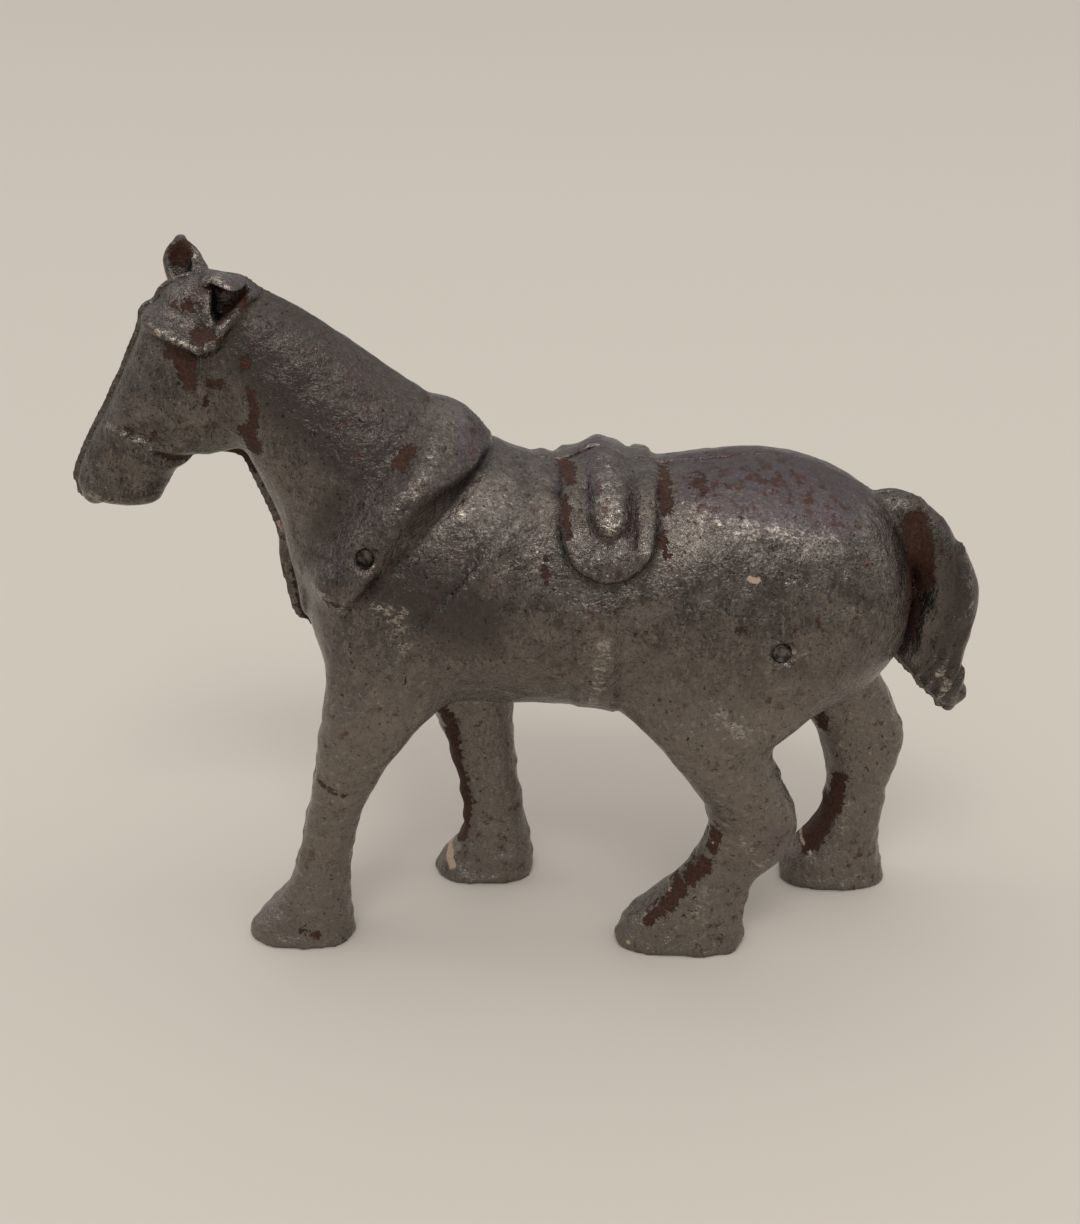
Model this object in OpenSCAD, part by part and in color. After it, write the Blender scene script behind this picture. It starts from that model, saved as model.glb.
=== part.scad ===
// Walking draft-horse coin bank: a hollow casting in two halves that meet on the
// horse's centre plane and are held together by two slotted machine screws.
// The horse faces -X. The left half lies on -Y, the right half on +Y, the soles on z = 0.

/* [Figure] */
// Overall length, muzzle to tail
overall_length = 151; // [135:1:170]
// How far the right half stands forward of the left one, a casting mismatch
casting_shift = 1; // [0:0.1:1.2]

/* [Casting] */
// Wall thickness of the hollow body and neck
wall = 3; // [2.6:0.1:3.4]
// Gap between the rims of the two halves
seam_gap = 0.2; // [0.1:0.05:0.4]
// Diameter of the round bosses that the screws pass through
boss_d = 9.5; // [8:0.5:11]

/* [Coin slot] */
// Length of the slot in the belly, along the seam
slot_length = 28; // [24:1:30]
// Width of the slot, half of it cut from each half
slot_width = 4.8; // [4.6:0.1:5.4]

/* [Harness] */
// Width of the rolled collar
collar_w = 8; // [6:0.5:10]
// Height of the collar above the neck
collar_rise = 2; // [1:0.2:2.6]
// Height of the saddle pad above the back
pad_rise = 1.3; // [0.8:0.1:1.8]
// Width of the girth strap
girth_w = 5.4; // [4:0.2:7]
// Height of the straps above the coat
strap_rise = 0.8; // [0.4:0.1:1]

/* [Screws] */
// Diameter of the screw thread
screw_d = 3.5; // [3:0.1:4]
// Diameter of the screw head
screw_head_d = 6.6; // [6:0.2:7.4]
// Height of the screw head
screw_head_h = 2.2; // [1.8:0.1:2.6]
// Radial clearance round the thread in the tapped boss of the left half
thread_clearance = 0.05; // [0.02:0.01:0.08]
// Radial clearance round the shank in the right half
shank_clearance = 0.08; // [0.05:0.01:0.1]

/* [Hidden] */

LEFT = -1;
RIGHT = 1;

// Everything is drawn at this length and then brought to overall_length.
drawn_length = 151;
k = overall_length / drawn_length;
reach = 200;      // larger than the figure in every direction
sole_z = 0;

// A rib is [top x, top z, bottom x, bottom z, centre y, half width]: an ellipse whose
// long axis joins its top and bottom points in side view. A limb is a loft through ribs.
trunk_ribs = [
    [-37.5, 66, -37.5, 58, 0, 6], [-34.5, 74, -34.5, 51, 0, 12.5], [-28, 82, -28.5, 45, 0, 17],
    [-18, 87, -20, 43, 0, 19], [-6, 88, -8, 43, 0, 20], [4, 85.7, 4, 43.2, 0, 20],
    [16, 85.3, 16, 42.8, 0, 20.5], [28, 86.6, 28, 42.5, 0, 20.5], [40, 87.3, 39, 42, 0, 20],
    [50, 84.7, 49, 42, 0, 18.5], [58, 79.3, 56, 46, 0, 15], [62.5, 70.5, 61.5, 53, 0, 9],
    [64, 66, 63.5, 60, 0, 4]];
neck_ribs = [
    [-2, 82, -28, 52, 0, 16], [-9, 92.5, -35, 57, 0, 16.5], [-14.2, 95.6, -38.5, 64, 0, 15.5],
    [-21.8, 100.8, -40.5, 71, 0, 13], [-30, 106.6, -42.5, 77, 0, 11], [-37.5, 111.5, -45, 83, 0, 9.5],
    [-45, 115.3, -47.5, 88.5, 0, 8.5], [-50, 116.5, -51, 92, 0, 7.5]];
head_ribs = [
    [-46, 115.5, -42, 95, 0, 6.5], [-54, 116.5, -46, 88.5, 0, 8], [-60, 112.5, -50, 87, 0, 8.5],
    [-64.5, 104, -55, 85.5, 0, 7.5], [-68, 97, -58.5, 84, 0, 6], [-71.5, 90.5, -60.5, 80.5, 0, 5.2],
    [-74.5, 85, -62.3, 78, 0, 5], [-75.5, 82, -66, 77.3, 0, 4.6], [-75, 80, -71, 78, 0, 3]];
left_fore_ribs = [
    [-31, 64, -13, 64, -10, 6], [-34, 50, -15, 48, -12, 6.8], [-35, 42, -19, 42, -12.3, 6.2],
    [-36.2, 34, -24.8, 34, -12, 5.2], [-37.8, 26, -29, 25, -11.5, 4.4], [-40, 17, -31, 16, -11, 4.2],
    [-43, 9.5, -31.7, 9, -11, 4.8], [-48, 4, -31.7, 3, -11, 5.5], [-49.2, 0, -31.7, -1, -11, 5.8],
    [-49.2, -4, -31.7, -4, -11, 5.8]];
right_fore_ribs = [
    [-25, 64, -6, 64, 10, 6], [-24, 48, -4, 46, 12, 6.8], [-19.5, 38, -3.3, 37, 12.3, 6.2],
    [-16, 30, -3, 30, 12, 5.2], [-13.5, 21, -2.4, 21, 11.5, 4.4], [-12.2, 13, -1.2, 13, 11, 4.2],
    [-13, 7, 0, 6, 11, 4.8], [-16.8, 2, 0.2, 2, 11, 5.5], [-17, -4, 0.2, -4, 11, 5.8]];
left_hind_ribs = [
    [18, 62, 52, 62, -9, 7.5], [17.2, 47, 46, 46, -11.8, 7.8], [22.8, 39, 41, 40, -12, 6.8],
    [28, 32, 42.7, 32.5, -12, 5.8], [30.8, 26, 45.5, 26, -11.5, 5], [30, 20, 43.8, 18.5, -11.3, 4.5],
    [26.5, 14, 39, 13, -11, 4.3], [20.5, 8.8, 37.5, 7, -11, 4.7], [16, 4, 37.3, 2, -11, 5.5],
    [15.3, -4, 37, -4, -11, 5.8]];
right_hind_ribs = [
    [34, 62, 59, 62, 9, 7.5], [40, 47, 60, 50, 11.8, 7.8], [46, 39, 62, 43, 12, 6.8],
    [50.5, 33, 64.3, 35, 12, 5.8], [53.5, 27, 67.2, 28, 11.5, 5], [54.5, 20, 65.4, 19.5, 11.3, 4.5],
    [53.3, 13, 64.5, 12, 11, 4.3], [50, 8, 64.5, 7, 11, 4.7], [47, 3.5, 65.5, 2.5, 11, 5.5],
    [47.5, -4, 65.5, -4, 11, 5.8]];
tail_ribs = [
    [55, 80, 56, 72, 0, 3], [61, 81, 60, 71, 0, 4], [67.2, 77.8, 62, 68, 0, 5],
    [72.2, 71, 63, 64, 0, 5.5], [75.3, 64, 63, 60, 0, 5.5], [74.7, 57, 62.5, 55, 0, 5.2],
    [72.8, 51, 62, 50.5, 0, 5], [73.8, 45, 65, 46, 0, 4.5], [74.3, 41, 69, 42, 0, 3.5],
    [72.5, 39.7, 71, 40.3, 0, 2]];
right_ear_ribs = [
    [-57.5, 112, -51, 112, 5.5, 2.6], [-58.5, 116.5, -51.5, 115.5, 6, 2.6],
    [-58, 119, -53, 118.5, 6.3, 2.2], [-56.7, 120.5, -54.8, 120.2, 6.5, 1.2]];
// The left ear is laid back along the crest as a lip over its own hollow.
left_ear_ribs = [
    [-51, 117.3, -51, 114.8, -4, 2], [-48, 118.8, -48, 115.4, -4.8, 3.3],
    [-44.5, 117, -44.5, 113.8, -4.8, 3.3], [-40.5, 114, -40.5, 112, -4, 2.4]];
// The hollow of each ear: its centre and its radii
left_ear_hollow = [[-45.8, -8.4, 111.6], [3.8, 3.4, 3.6]];
right_ear_hollow = [[-55.6, 3.6, 118.3], [2.3, 2.3, 3.4]];

// Harness lines in side view, as [x, z]
collar_top = [-8, 93.5];
collar_bottom = [-38, 65];
brow = [-55, 105];
brow_tilt = 40;
cheek = [-48, 104];
cheek_tilt = -24;
bridle_w = 2.6;
pad_x = 12.8;
pad_w = 17;
pad_bottom_z = 72;
inner_pad_w = 6.6;
inner_pad_bottom_z = 76.5;
girth_x = 9.8;

slot_x = -3;
slot_top_z = 50;

front_screw_at = [-25.2, 75.5];
rear_screw_at = [41.2, 60.4];
// Where each screw's head seats and where its tip ends, along Y
front_seat_y = 14.6;
front_tip_y = -17;
rear_seat_y = 17.2;
rear_tip_y = -19.4;
head_pocket_play = 0.4;

// Lugs inside the rim of the left half, which reach into the hollow of the right one
lug_d = 5;
lug_root = 5;
lug_reach = 2.5;
lug_play = 0.5;
lugs_at = [[-20, 92], [52, 77], [52, 49], [-30, 51]];

// --- Lofting ---------------------------------------------------------------------

// Point on the curve through b and c at t, with a and d as its neighbours
function through(a, b, c, d, t) =
    0.5 * (2 * b + (c - a) * t + (2 * a - 5 * b + 4 * c - d) * t * t
           + (3 * b - a - 3 * c + d) * t * t * t);

// Ribs with steps - 1 more between each two, on smooth curves
function smoothed(ribs, steps) =
    let (n = len(ribs),
         all = concat([2 * ribs[0] - ribs[1]], ribs, [2 * ribs[n - 1] - ribs[n - 2]]))
    concat([for (i = [0 : n - 2], s = [0 : steps - 1])
                through(all[i], all[i + 1], all[i + 2], all[i + 3], s / steps)],
           [ribs[n - 1]]);

function rib_middle(r) = [(r[0] + r[2]) / 2, r[4], (r[1] + r[3]) / 2];
function rib_up(r) = let (d = [r[0] - r[2], 0, r[1] - r[3]]) d / norm(d);

// The points of one rib, its two half axes made larger by grow
function rib_ring(r, grow, sides) =
    let (tall = norm([r[0] - r[2], r[1] - r[3]]) / 2 + grow, wide = r[5] + grow)
    [for (i = [0 : sides - 1])
        let (a = 360 * i / sides)
        rib_middle(r) + tall * cos(a) * rib_up(r) + [0, wide * sin(a), 0]];

// Whether the rings, in order, run the way that puts the loft's faces outwards
function rings_run_forward(rs) =
    cross(rib_up(rs[0]), [0, 1, 0]) * (rib_middle(rs[len(rs) - 1]) - rib_middle(rs[0])) > 0;

module limb(ribs, sides, steps = 2, grow = 0) {
    smooth_ribs = smoothed(ribs, steps);
    rs = rings_run_forward(smooth_ribs)
        ? smooth_ribs
        : [for (i = [len(smooth_ribs) - 1 : -1 : 0]) smooth_ribs[i]];
    n = len(rs);
    points = [for (r = rs) each rib_ring(r, grow, sides)];
    walls = [for (i = [0 : n - 2], j = [0 : sides - 1])
        let (a = i * sides + j, b = i * sides + (j + 1) % sides)
        each [[a, a + sides, b + sides], [a, b + sides, b]]];
    first = [for (j = [0 : sides - 1]) j];
    last = [for (j = [sides - 1 : -1 : 0]) (n - 1) * sides + j];
    polyhedron(points, concat(walls, [first, last]));
}

// Ribs without the first and the last few, for the hollow inside a limb
function inner_ribs(ribs, first, last) = [for (i = [first : len(ribs) - 1 - last]) ribs[i]];

// --- Coat, hollow and relief -----------------------------------------------------

module trunk(grow = 0) { limb(trunk_ribs, 36, grow = grow); }
module neck(grow = 0) { limb(neck_ribs, 30, grow = grow); }
module head(grow = 0) { limb(head_ribs, 24, grow = grow); }

module hollow(shrink) {
    limb(inner_ribs(trunk_ribs, 1, 2), 24, grow = -shrink);
    limb(inner_ribs(neck_ribs, 0, 2), 20, grow = -shrink);
}

// A slab across the figure, thick wide, centred on the line from a to b in side view
module slab_along(a, b, thick) {
    middle = (a + b) / 2;
    tilt = atan2(b[1] - a[1], b[0] - a[0]);
    translate([middle[0], 0, middle[1]])
        rotate([0, -tilt, 0])
        cube([norm(b - a) + 20, reach, thick], center = true);
}

module slab_at(at, tilt, long, thick) {
    translate([at[0], 0, at[1]])
        rotate([0, -tilt, 0])
        cube([long, reach, thick], center = true);
}

// The rolled collar, in three steps that round its sides
module collar() {
    for (step = [[1, 0.45], [0.8, 0.8], [0.5, 1]])
        intersection() {
            union() {
                trunk(collar_rise * step[1]);
                neck(collar_rise * step[1]);
            }
            slab_along(collar_bottom, collar_top, collar_w * step[0]);
        }
}

// One pad of the saddle: a tongue with a round lower end, on both sides of the back
module pad_outline(width, bottom_z, rise) {
    intersection() {
        trunk(rise);
        translate([pad_x, 0, bottom_z + width / 2])
            rotate([90, 0, 0])
            linear_extrude(reach, center = true) {
                circle(d = width, $fn = 32);
                translate([-width / 2, 0]) square([width, 40]);
            }
    }
}

module saddle() {
    pad_outline(pad_w, pad_bottom_z, pad_rise);
    pad_outline(pad_w * 0.68, pad_bottom_z + 2.5, pad_rise * 1.5);
    pad_outline(inner_pad_w, inner_pad_bottom_z, pad_rise * 2.6);
}

module girth() {
    intersection() {
        trunk(strap_rise);
        translate([girth_x - girth_w / 2, -reach / 2, 30])
            cube([girth_w, reach, pad_bottom_z - 28]);
    }
}

module bridle() {
    intersection() {
        union() {
            head(strap_rise);
            neck(strap_rise);
        }
        union() {
            slab_at(brow, brow_tilt, 20, bridle_w);
            slab_at(cheek, 90 + cheek_tilt, 26, bridle_w);
        }
    }
}

module ear_hollow(hollow_at) {
    translate(hollow_at[0])
        scale(hollow_at[1])
        sphere(r = 1, $fn = 20);
}

module legs_and_ear(side) {
    if (side == LEFT) {
        limb(left_fore_ribs, 18);
        limb(left_hind_ribs, 18);
        limb(left_ear_ribs, 14);
    } else {
        limb(right_fore_ribs, 18);
        limb(right_hind_ribs, 18);
        limb(right_ear_ribs, 14);
    }
}

module boss(at) {
    translate([at[0], 0, at[1]])
        rotate([90, 0, 0])
        cylinder(d = boss_d, h = reach, center = true, $fn = 40);
}

module coat(side) {
    difference() {
        union() {
            trunk();
            neck();
            head();
            limb(tail_ribs, 18);
            legs_and_ear(side);
            collar();
            saddle();
            girth();
            bridle();
        }
        ear_hollow(side == LEFT ? left_ear_hollow : right_ear_hollow);
    }
}

// The half space that one casting fills, cut at its rim and at the soles
module half_space(side) {
    translate([-reach / 2, side == LEFT ? -reach : 0, sole_z])
        translate([0, side * seam_gap / 2, 0])
        cube([reach, reach, reach]);
}

// Locating lugs, clear of the right casting's wall by lug_play even with its mismatch
module lugs() {
    intersection() {
        for (at = lugs_at)
            translate([at[0], -lug_root, at[1]])
            rotate([-90, 0, 0])
            cylinder(d = lug_d, h = lug_root + lug_reach, $fn = 24);
        union() {
            hollow(wall + casting_shift + lug_play);
            intersection() {
                union() {
                    trunk();
                    neck();
                }
                half_space(LEFT);
            }
        }
    }
}

module casting(side) {
    translate([-side * casting_shift / 2, 0, 0]) {
        intersection() {
            difference() {
                coat(side);
                difference() {
                    hollow(wall);
                    boss(front_screw_at);
                    boss(rear_screw_at);
                }
            }
            half_space(side);
        }
        if (side == LEFT) lugs();
    }
}

// --- Exact cuts ------------------------------------------------------------------

// A round cut along Y through the point at, from y0 to y1
module bore(at, d, y0, y1) {
    translate([at[0] * k, y0 * k, at[1] * k])
        rotate([-90, 0, 0])
        cylinder(d = d, h = (y1 - y0) * k, $fn = 48);
}

module coin_slot() {
    translate([(slot_x - slot_length / 2) * k, -slot_width / 2, 0])
        cube([slot_length * k, slot_width, slot_top_z * k]);
}

// --- Sub-parts -------------------------------------------------------------------

module left_half() {
    color([0.33, 0.32, 0.32])
    difference() {
        resize([overall_length, 0, 0], auto = true) casting(LEFT);
        for (at = [front_screw_at, rear_screw_at])
            bore(at, screw_d + 2 * thread_clearance, -40, 10);
        coin_slot();
    }
}

module right_half() {
    color([0.31, 0.3, 0.31])
    difference() {
        resize([overall_length, 0, 0], auto = true) casting(RIGHT);
        for (at = [front_screw_at, rear_screw_at])
            bore(at, screw_d + 2 * shank_clearance, -10, 40);
        bore(front_screw_at, screw_head_d + 2 * head_pocket_play, front_seat_y, 40);
        bore(rear_screw_at, screw_head_d + 2 * head_pocket_play, rear_seat_y, 40);
        coin_slot();
    }
}

// A slotted cheese-head screw along Y, its head seated at seat_y and its end at tip_y
module screw(at, seat_y, tip_y) {
    slot_w = 0.9;
    slot_deep = 1.1;
    color([0.36, 0.34, 0.32])
    difference() {
        union() {
            bore(at, screw_d, tip_y, seat_y);
            translate([at[0] * k, seat_y * k, at[1] * k])
                rotate([-90, 0, 0])
                cylinder(d = screw_head_d, h = screw_head_h, $fn = 48);
        }
        translate([at[0] * k, seat_y * k + screw_head_h, at[1] * k])
            cube([reach, 2 * slot_deep, slot_w], center = true);
    }
}

module front_screw() { screw(front_screw_at, front_seat_y, front_tip_y); }
module rear_screw() { screw(rear_screw_at, rear_seat_y, rear_tip_y); }

left_half();
right_half();
front_screw();
rear_screw();
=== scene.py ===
"""Looks of the walking draft-horse coin bank: a hollow iron casting in two halves, and the
two slotted screws that hold them together. Each half is drawn as a smooth solid field in
millimetres, in the same frame as the CAD, and its surface is then turned into a mesh.
"""

import math

import bpy
import numpy as np
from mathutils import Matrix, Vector


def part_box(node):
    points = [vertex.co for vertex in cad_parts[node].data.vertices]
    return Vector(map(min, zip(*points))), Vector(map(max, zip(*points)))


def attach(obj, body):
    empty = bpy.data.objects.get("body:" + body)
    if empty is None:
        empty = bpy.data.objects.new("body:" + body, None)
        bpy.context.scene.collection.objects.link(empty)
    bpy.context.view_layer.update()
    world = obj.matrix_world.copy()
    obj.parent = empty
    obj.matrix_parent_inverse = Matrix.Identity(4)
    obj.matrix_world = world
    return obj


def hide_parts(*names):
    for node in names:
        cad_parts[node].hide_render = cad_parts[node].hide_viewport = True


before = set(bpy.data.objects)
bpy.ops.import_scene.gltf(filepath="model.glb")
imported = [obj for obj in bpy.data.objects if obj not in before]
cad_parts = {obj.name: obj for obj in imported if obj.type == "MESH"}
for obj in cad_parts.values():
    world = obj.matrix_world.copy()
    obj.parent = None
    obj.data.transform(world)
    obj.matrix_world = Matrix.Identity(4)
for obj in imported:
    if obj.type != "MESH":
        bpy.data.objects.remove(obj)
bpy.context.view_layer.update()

MM = 0.001
STEP = 0.58
SCREW_STEP = 0.18
LEFT, RIGHT = -1, 1
NOWHERE = 1e9  # a distance that nothing reaches

# --- The figure, in millimetres ---
# The horse faces -X. The left half lies on -Y, the right half on +Y, the soles on z = 0.

# How far the halves are out of line, how thick the wall is, and half the gap at the seam
CASTING_SHIFT = 1.0
WALL = 3.0
RIM = 0.04

# The box that each half is drawn in
X_SPAN = (-80.0, 80.0)
Y_SPANS = {LEFT: (-24.0, 4.0), RIGHT: (-1.5, 24.0)}
Z_SPAN = (-1.6, 124.0)

# A rib is (top x, top z, bottom x, bottom z, centre y, half width), an ellipse whose long
# axis joins its top and bottom points in side view. A limb is a smooth loft through ribs.
TRUNK = [
    (-37.5, 66, -37.5, 58, 0, 6), (-34.5, 74, -34.5, 51, 0, 12.5), (-28, 82, -28.5, 45, 0, 17),
    (-18, 87, -20, 43, 0, 19), (-6, 88, -8, 43, 0, 20), (4, 85.7, 4, 43.2, 0, 20),
    (16, 85.3, 16, 42.8, 0, 20.5), (28, 86.6, 28, 42.5, 0, 20.5), (40, 87.3, 39, 42, 0, 20),
    (50, 84.7, 49, 42, 0, 18.5), (58, 79.3, 56, 46, 0, 15), (62.5, 70.5, 61.5, 53, 0, 9),
    (64, 66, 63.5, 60, 0, 4),
]
NECK = [
    (-2, 82, -28, 52, 0, 16), (-9, 92.5, -35, 57, 0, 16.5), (-14.2, 95.6, -38.5, 64, 0, 15.5),
    (-21.8, 100.8, -40.5, 71, 0, 13), (-30, 106.6, -42.5, 77, 0, 11),
    (-37.5, 111.5, -45, 83, 0, 9.5), (-45, 115.3, -47.5, 88.5, 0, 8.5),
    (-50, 116.5, -51, 92, 0, 7.5),
]
HEAD = [
    (-46, 115.5, -42, 95, 0, 6.5), (-54, 116.5, -46, 88.5, 0, 8), (-60, 112.5, -50, 87, 0, 8.5),
    (-64.5, 104, -55, 85.5, 0, 7.5), (-68, 97, -58.5, 84, 0, 6), (-71.5, 90.5, -60.5, 80.5, 0, 5.2),
    (-74.5, 85, -62.3, 78, 0, 5), (-75.5, 82, -66, 77.3, 0, 4.6), (-75, 80, -71, 78, 0, 3),
]
LEFT_FORE = [
    (-31, 64, -13, 64, -10, 6), (-34, 50, -15, 48, -12, 6.8), (-35, 42, -19, 42, -12.3, 6.2),
    (-36.2, 34, -24.8, 34, -12, 5.2), (-37.8, 26, -29, 25, -11.5, 4.4), (-40, 17, -31, 16, -11, 4.2),
    (-43, 9.5, -31.7, 9, -11, 4.8), (-48, 4, -31.7, 3, -11, 5.5), (-49.2, 0, -31.7, -1, -11, 5.8),
    (-49.2, -4, -31.7, -4, -11, 5.8),
]
RIGHT_FORE = [
    (-25, 64, -6, 64, 10, 6), (-24, 48, -4, 46, 12, 6.8), (-19.5, 38, -3.3, 37, 12.3, 6.2),
    (-16, 30, -3, 30, 12, 5.2), (-13.5, 21, -2.4, 21, 11.5, 4.4), (-12.2, 13, -1.2, 13, 11, 4.2),
    (-13, 7, 0, 6, 11, 4.8), (-16.8, 2, 0.2, 2, 11, 5.5), (-17, -4, 0.2, -4, 11, 5.8),
]
LEFT_HIND = [
    (18, 62, 52, 62, -9, 7.5), (17.2, 47, 46, 46, -11.8, 7.8), (22.8, 39, 41, 40, -12, 6.8),
    (28, 32, 42.7, 32.5, -12, 5.8), (30.8, 26, 45.5, 26, -11.5, 5), (30, 20, 43.8, 18.5, -11.3, 4.5),
    (26.5, 14, 39, 13, -11, 4.3), (20.5, 8.8, 37.5, 7, -11, 4.7), (16, 4, 37.3, 2, -11, 5.5),
    (15.3, -4, 37, -4, -11, 5.8),
]
RIGHT_HIND = [
    (34, 62, 59, 62, 9, 7.5), (40, 47, 60, 50, 11.8, 7.8), (46, 39, 62, 43, 12, 6.8),
    (50.5, 33, 65.4, 36, 12, 5.8), (53.5, 27, 67.8, 29, 11.5, 5), (54.5, 20, 65.4, 19.5, 11.3, 4.5),
    (53.3, 13, 64.5, 12, 11, 4.3), (50, 8, 64.5, 7, 11, 4.7), (47, 3.5, 65.5, 2.5, 11, 5.5),
    (47.5, -4, 65.5, -4, 11, 5.8),
]
TAIL = [
    (55, 80, 56, 72, 0, 3), (61, 81, 60, 71, 0, 4), (67.2, 77.8, 62, 68, 0, 5),
    (72.2, 71, 63, 64, 0, 5.5), (75.3, 64, 63, 60, 0, 5.5), (74.7, 57, 62.5, 55, 0, 5.2),
    (73.2, 51.5, 62, 52, 0, 5), (74, 46.8, 65.2, 48, 0, 4.6), (74.2, 43.8, 68, 44.6, 0, 3.8),
    (73, 42.2, 70.4, 42.6, 0, 2.4),
]
RIGHT_EAR = [
    (-57.5, 112, -51, 112, 5.5, 2.6), (-58.5, 116.5, -51.5, 115.5, 6, 2.6),
    (-58, 119, -53, 118.5, 6.3, 2.2), (-56.7, 120.5, -54.8, 120.2, 6.5, 1.2),
]
LEFT_EAR = [
    (-50.8, 117.0, -50.8, 115.4, -3.6, 1.6), (-48.8, 117.6, -48.6, 115.6, -4.2, 2.6),
    (-45.8, 116.1, -45.6, 114.4, -4.6, 2.6), (-43.6, 114.1, -43.5, 113.4, -3.4, 1.0),
]
LEG_BLEND = 6.0

# The right ear's hollow is an ellipsoid. The left ear's is a prism with these (x, z) corners,
# which runs from NICHE_Y out to the near side.
SPOON_CENTRE = (-55.5, 3.4, 117.8)
SPOON_RADII = (2.1, 2.3, 3.3)
NICHE = [
    (-50.0, 116.5), (-44.4, 115.0), (-44.8, 113.2), (-47.6, 111.4), (-49.0, 110.0), (-50.1, 111.4),
]
NICHE_Y = -2.2

FRONT_SCREW = {"at": (-25.2, 75.5), "seat": 14.6, "tip": -17.7}
REAR_SCREW = {"at": (41.2, 60.4), "seat": 17.2, "tip": -19.7}
SCREWS = (FRONT_SCREW, REAR_SCREW)
BOSS_RADIUS = 4.75
SHANK_RADIUS = 1.75
TAPPED_RADIUS = 1.42
BORE_RADIUS = 1.83
HEAD_RADIUS = 3.3
HEAD_HEIGHT = 2.2
POCKET_RADIUS = 3.7
THREAD_PITCH, THREAD_DEPTH = 0.8, 0.22
DRIVE_SLOT_HALF, DRIVE_SLOT_DEPTH = 0.45, 1.1

SLOT_X, SLOT_LENGTH, SLOT_WIDTH, SLOT_TOP = -3.0, 28.0, 4.8, 50.0

LUGS = [(-20, 92), (52, 77), (52, 49), (-30, 51)]
LUG_RADIUS, LUG_ROOT, LUG_REACH, LUG_PLAY = 2.5, 5.0, 2.5, 1.5

# Harness and relief lines, as (x, z) in side view, the same on both halves
COLLAR_FRONT = [(-12.8, 98.6), (-17.6, 93.4), (-23.8, 87.4), (-30.6, 79.8), (-35.4, 74), (-39, 69)]
BROWBAND = [
    (-60.9, 110), (-58.5, 109.3), (-55.6, 108.2), (-53.4, 107.3), (-51.6, 107), (-49.6, 107.7),
    (-48.1, 110), (-46, 112.7), (-43.6, 115.4),
]
CHEEKPIECE = [(-50.6, 105), (-51.2, 102.5), (-54.2, 98.2), (-57.9, 93.6), (-61, 90.3)]
NOSEBAND = [(-68.6, 91.7), (-67.0, 91.3), (-64.6, 90.4), (-61, 89.1), (-58.5, 88.3)]
MOUTH = [(-60.4, 87.7), (-57.4, 86.7), (-54.6, 86.2)]
LIP = [(-62.5, 85.6), (-60.5, 85.2), (-57.6, 84.6)]
PAD_X, PAD_HALF, PAD_BOTTOM = 12.8, 8.2, 71.8
PAD_ROLL_X, PAD_ROLL_HALF, PAD_ROLL_BOTTOM = 13.0, 3.9, 78.4
GIRTH_X, GIRTH_BOTTOM = 11.0, 49.3
STUD_BOTTOM, STUD_PITCH, STUD_COUNT = 49.4, 1.6, 9

# How near the smooth form's surface relief is added, and the inside's roughness
RELIEF_REACH = 5.5
ROUGH_REACH = 2


# --- Small functions ---

def fade(value, start, end):
    """1 at start and beyond it, 0 at end, smooth between them."""
    t = np.clip((value - end) / (start - end), 0, 1)
    return t * t * (3 - 2 * t)


def bump(distance, width):
    """1 at distance 0, falling off like a bell of that half width."""
    return np.exp(-np.minimum((distance / width) ** 2, 30))


def roll(distance, half):
    """A round profile: 1 at the centre, 0 from half outwards."""
    return np.sqrt(np.clip(1 - (distance / half) ** 2, 0, 1))


def smooth_union(a, b, radius):
    h = np.clip(0.5 + 0.5 * (b - a) / radius, 0, 1)
    return b * (1 - h) + a * h - radius * h * (1 - h)


def to_line(x, z, points):
    """Distance in side view from a chain of points, and how far along it, from 0 to 1."""
    p = np.array(points, np.float32)
    lengths = np.hypot(*(p[1:] - p[:-1]).T)
    starts = np.concatenate([[0], np.cumsum(lengths)])
    best = np.full(x.shape, NOWHERE, np.float32)
    along = np.zeros(x.shape, np.float32)
    for a, b, length, start in zip(p[:-1], p[1:], lengths, starts):
        t = ((x - a[0]) * (b[0] - a[0]) + (z - a[1]) * (b[1] - a[1])) / length ** 2
        t = np.clip(t, 0, 1)
        d = np.hypot(x - a[0] - t * (b[0] - a[0]), z - a[1] - t * (b[1] - a[1]))
        near = d < best
        best = np.where(near, d, best)
        along = np.where(near, start + t * length, along)
    return best, along / starts[-1]


def side_of(x, z, points):
    """Signed distance in side view from a nearly straight chain, positive on its +X side."""
    d, _ = to_line(x, z, points)
    a, b = np.array(points[0]), np.array(points[-1])
    cross = (b[0] - a[0]) * (z - a[1]) - (b[1] - a[1]) * (x - a[0])
    return np.where(cross > 0, d, -d)


def wander(x, y, z, size, seed):
    """Smooth random values from -1 to 1, about size mm from one bump to the next."""
    period = 32
    table = np.random.default_rng(seed).uniform(-1, 1, (period,) * 3).astype(np.float32)
    cells, weights = [], []
    for v in (x, y, z):
        low = np.floor(v / size)
        t = v / size - low
        weights.append(t * t * (3 - 2 * t))
        cells.append(low.astype(np.int64))
    total = np.zeros(np.shape(x), np.float32)
    for i in (0, 1):
        for j in (0, 1):
            for k in (0, 1):
                weight = np.ones_like(total)
                for one, w in zip((i, j, k), weights):
                    weight = weight * (w if one else 1 - w)
                index = [(c + one) % period for c, one in zip(cells, (i, j, k))]
                total += weight * table[index[0], index[1], index[2]]
    return total


# --- Fields: negative inside the metal, in millimetres ---

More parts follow.
